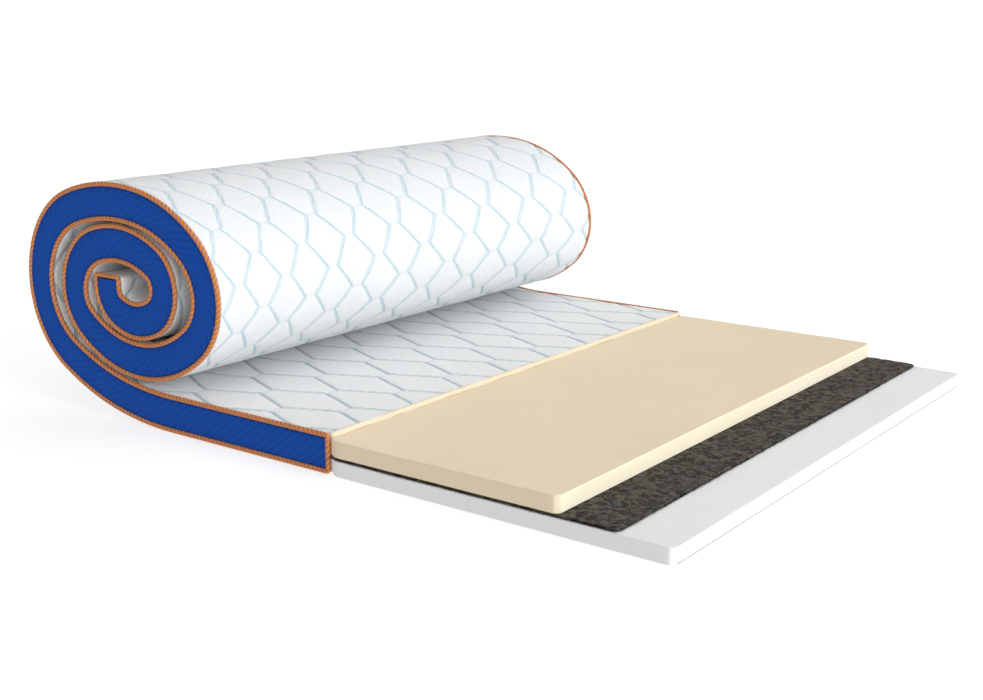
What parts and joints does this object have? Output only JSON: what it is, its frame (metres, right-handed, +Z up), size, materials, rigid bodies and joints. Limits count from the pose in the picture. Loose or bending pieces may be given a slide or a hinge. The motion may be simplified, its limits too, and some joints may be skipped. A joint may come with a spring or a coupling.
{
  "type": "roll-up pressure relief mattress",
  "caption": "Thin roll-up pressure relief mattress, half unrolled, quilted cover with piped borders, foam and felt layers stepped out at its open end",
  "frame": {"origin": "on the surface the mattress lies on, under the middle of the object's length and width as half rolled", "axes": "+X along the mattress towards the cover's open end, +Y across its width, +Z up"},
  "size_m": [0.9564, 0.8, 0.2981],
  "materials": {
    "knit_top": "white knit with a fine diagonal rib, quilted in pale blue-grey elongated hexagons",
    "knit_underside": "white knit with a fine diagonal rib, quilted in pale blue-grey elongated hexagons",
    "border_fabric": "royal blue border cloth with a faint diagonal twill",
    "piping_cord": "twisted cord piping, orange and brown strands",
    "cream_foam": "fine-celled cream latex-like foam, matt",
    "white_foam": "fine-celled white foam, matt",
    "thermo_felt": "needled felt of mixed dark grey and brown fibres"
  },
  "bodies": {
    "laid_part": {"cover_base_flat": "knit_underside", "cover_top_flat": "knit_top", "cover_base_roll": "knit_underside", "cover_top_roll": "knit_top", "border_near_flat": "border_fabric", "border_near_roll": "border_fabric", "piping_near_flat": "piping_cord", "piping_near_roll": "piping_cord", "border_far_flat": "border_fabric", "border_far_roll": "border_fabric", "piping_far_flat": "piping_cord", "piping_far_roll": "piping_cord", "cream_foam_flat": "cream_foam", "felt_flat": "thermo_felt", "white_foam_flat": "white_foam", "felt_roll": "thermo_felt", "cream_foam_00": "cream_foam", "white_foam_00": "white_foam"},
    "roll_01": {"cream_foam_01": "cream_foam", "white_foam_01": "white_foam"},
    "roll_02": {"cream_foam_02": "cream_foam", "white_foam_02": "white_foam"},
    "roll_03": {"cream_foam_03": "cream_foam", "white_foam_03": "white_foam"},
    "roll_04": {"cream_foam_04": "cream_foam", "white_foam_04": "white_foam"},
    "roll_05": {"cream_foam_05": "cream_foam", "white_foam_05": "white_foam"},
    "roll_06": {"cream_foam_06": "cream_foam", "white_foam_06": "white_foam"},
    "roll_07": {"cream_foam_07": "cream_foam", "white_foam_07": "white_foam"},
    "roll_08": {"cream_foam_08": "cream_foam", "white_foam_08": "white_foam"},
    "roll_09": {"cream_foam_09": "cream_foam", "white_foam_09": "white_foam"},
    "roll_10": {"cream_foam_10": "cream_foam", "white_foam_10": "white_foam"},
    "roll_11": {"cream_foam_11": "cream_foam", "white_foam_11": "white_foam"},
    "roll_12": {"cream_foam_12": "cream_foam", "white_foam_12": "white_foam"},
    "roll_13": {"cream_foam_13": "cream_foam", "white_foam_13": "white_foam"},
    "roll_14": {"cream_foam_14": "cream_foam", "white_foam_14": "white_foam"},
    "roll_15": {"cream_foam_15": "cream_foam", "white_foam_15": "white_foam"},
    "roll_16": {"cream_foam_16": "cream_foam", "white_foam_16": "white_foam"},
    "roll_17": {"cream_foam_17": "cream_foam", "white_foam_17": "white_foam"}
  },
  "joints": [
    {"name": "unroll_01", "type": "hinge", "parent": "laid_part", "child": "roll_01", "pos_m": [-0.29328, 0, 0.02887], "axis": [0, -1, 0], "range_deg": [0, 20], "deforming": ["cover_base_roll", "cover_top_roll", "border_near_roll", "border_far_roll", "piping_near_roll", "piping_far_roll", "felt_roll"]},
    {"name": "unroll_02", "type": "hinge", "parent": "roll_01", "child": "roll_02", "pos_m": [-0.40359, 0, 0.06902], "axis": [0, -1, 0], "range_deg": [0, 32.5]},
    {"name": "unroll_03", "type": "hinge", "parent": "roll_02", "child": "roll_03", "pos_m": [-0.45251, 0, 0.13277], "axis": [0, -1, 0], "range_deg": [0, 47.5]},
    {"name": "unroll_04", "type": "hinge", "parent": "roll_03", "child": "roll_04", "pos_m": [-0.43651, 0, 0.2235], "axis": [0, -1, 0], "range_deg": [0, 42.5]},
    {"name": "unroll_05", "type": "hinge", "parent": "roll_04", "child": "roll_05", "pos_m": [-0.38689, 0, 0.26158], "axis": [0, -1, 0], "range_deg": [0, 32.5]},
    {"name": "unroll_06", "type": "hinge", "parent": "roll_05", "child": "roll_06", "pos_m": [-0.26055, 0, 0.27263], "axis": [0, -1, 0], "range_deg": [0, 30]},
    {"name": "unroll_07", "type": "hinge", "parent": "roll_06", "child": "roll_07", "pos_m": [-0.17516, 0, 0.23282], "axis": [0, -1, 0], "range_deg": [0, 35]},
    {"name": "unroll_08", "type": "hinge", "parent": "roll_07", "child": "roll_08", "pos_m": [-0.14609, 0, 0.18246], "axis": [0, -1, 0], "range_deg": [0, 50]},
    {"name": "unroll_09", "type": "hinge", "parent": "roll_08", "child": "roll_09", "pos_m": [-0.17038, 0, 0.11575], "axis": [0, -1, 0], "range_deg": [0, 50]},
    {"name": "unroll_10", "type": "hinge", "parent": "roll_09", "child": "roll_10", "pos_m": [-0.26937, 0, 0.07972], "axis": [0, -1, 0], "range_deg": [0, 40]},
    {"name": "unroll_11", "type": "hinge", "parent": "roll_10", "child": "roll_11", "pos_m": [-0.369, 0, 0.11598], "axis": [0, -1, 0], "range_deg": [0, 50]},
    {"name": "unroll_12", "type": "hinge", "parent": "roll_11", "child": "roll_12", "pos_m": [-0.38781, 0, 0.16766], "axis": [0, -1, 0], "range_deg": [0, 60]},
    {"name": "unroll_13", "type": "hinge", "parent": "roll_12", "child": "roll_13", "pos_m": [-0.34538, 0, 0.21822], "axis": [0, -1, 0], "range_deg": [0, 55]},
    {"name": "unroll_14", "type": "hinge", "parent": "roll_13", "child": "roll_14", "pos_m": [-0.23845, 0, 0.20887], "axis": [0, -1, 0], "range_deg": [0, 55]},
    {"name": "unroll_15", "type": "hinge", "parent": "roll_14", "child": "roll_15", "pos_m": [-0.21845, 0, 0.17422], "axis": [0, -1, 0], "range_deg": [0, 60]},
    {"name": "unroll_16", "type": "hinge", "parent": "roll_15", "child": "roll_16", "pos_m": [-0.23895, 0, 0.13872], "axis": [0, -1, 0], "range_deg": [0, 60]},
    {"name": "unroll_17", "type": "hinge", "parent": "roll_16", "child": "roll_17", "pos_m": [-0.30795, 0, 0.13872], "axis": [0, -1, 0], "range_deg": [0, 60]}
  ],
  "couplings": [
    {"joint": "unroll_02", "follows": "unroll_01", "ratio": 1.625},
    {"joint": "unroll_03", "follows": "unroll_01", "ratio": 2.375},
    {"joint": "unroll_04", "follows": "unroll_01", "ratio": 2.125},
    {"joint": "unroll_05", "follows": "unroll_01", "ratio": 1.625},
    {"joint": "unroll_06", "follows": "unroll_01", "ratio": 1.5},
    {"joint": "unroll_07", "follows": "unroll_01", "ratio": 1.75},
    {"joint": "unroll_08", "follows": "unroll_01", "ratio": 2.5},
    {"joint": "unroll_09", "follows": "unroll_01", "ratio": 2.5},
    {"joint": "unroll_10", "follows": "unroll_01", "ratio": 2},
    {"joint": "unroll_11", "follows": "unroll_01", "ratio": 2.5},
    {"joint": "unroll_12", "follows": "unroll_01", "ratio": 3},
    {"joint": "unroll_13", "follows": "unroll_01", "ratio": 2.75},
    {"joint": "unroll_14", "follows": "unroll_01", "ratio": 2.75},
    {"joint": "unroll_15", "follows": "unroll_01", "ratio": 3},
    {"joint": "unroll_16", "follows": "unroll_01", "ratio": 3},
    {"joint": "unroll_17", "follows": "unroll_01", "ratio": 3}
  ]
}
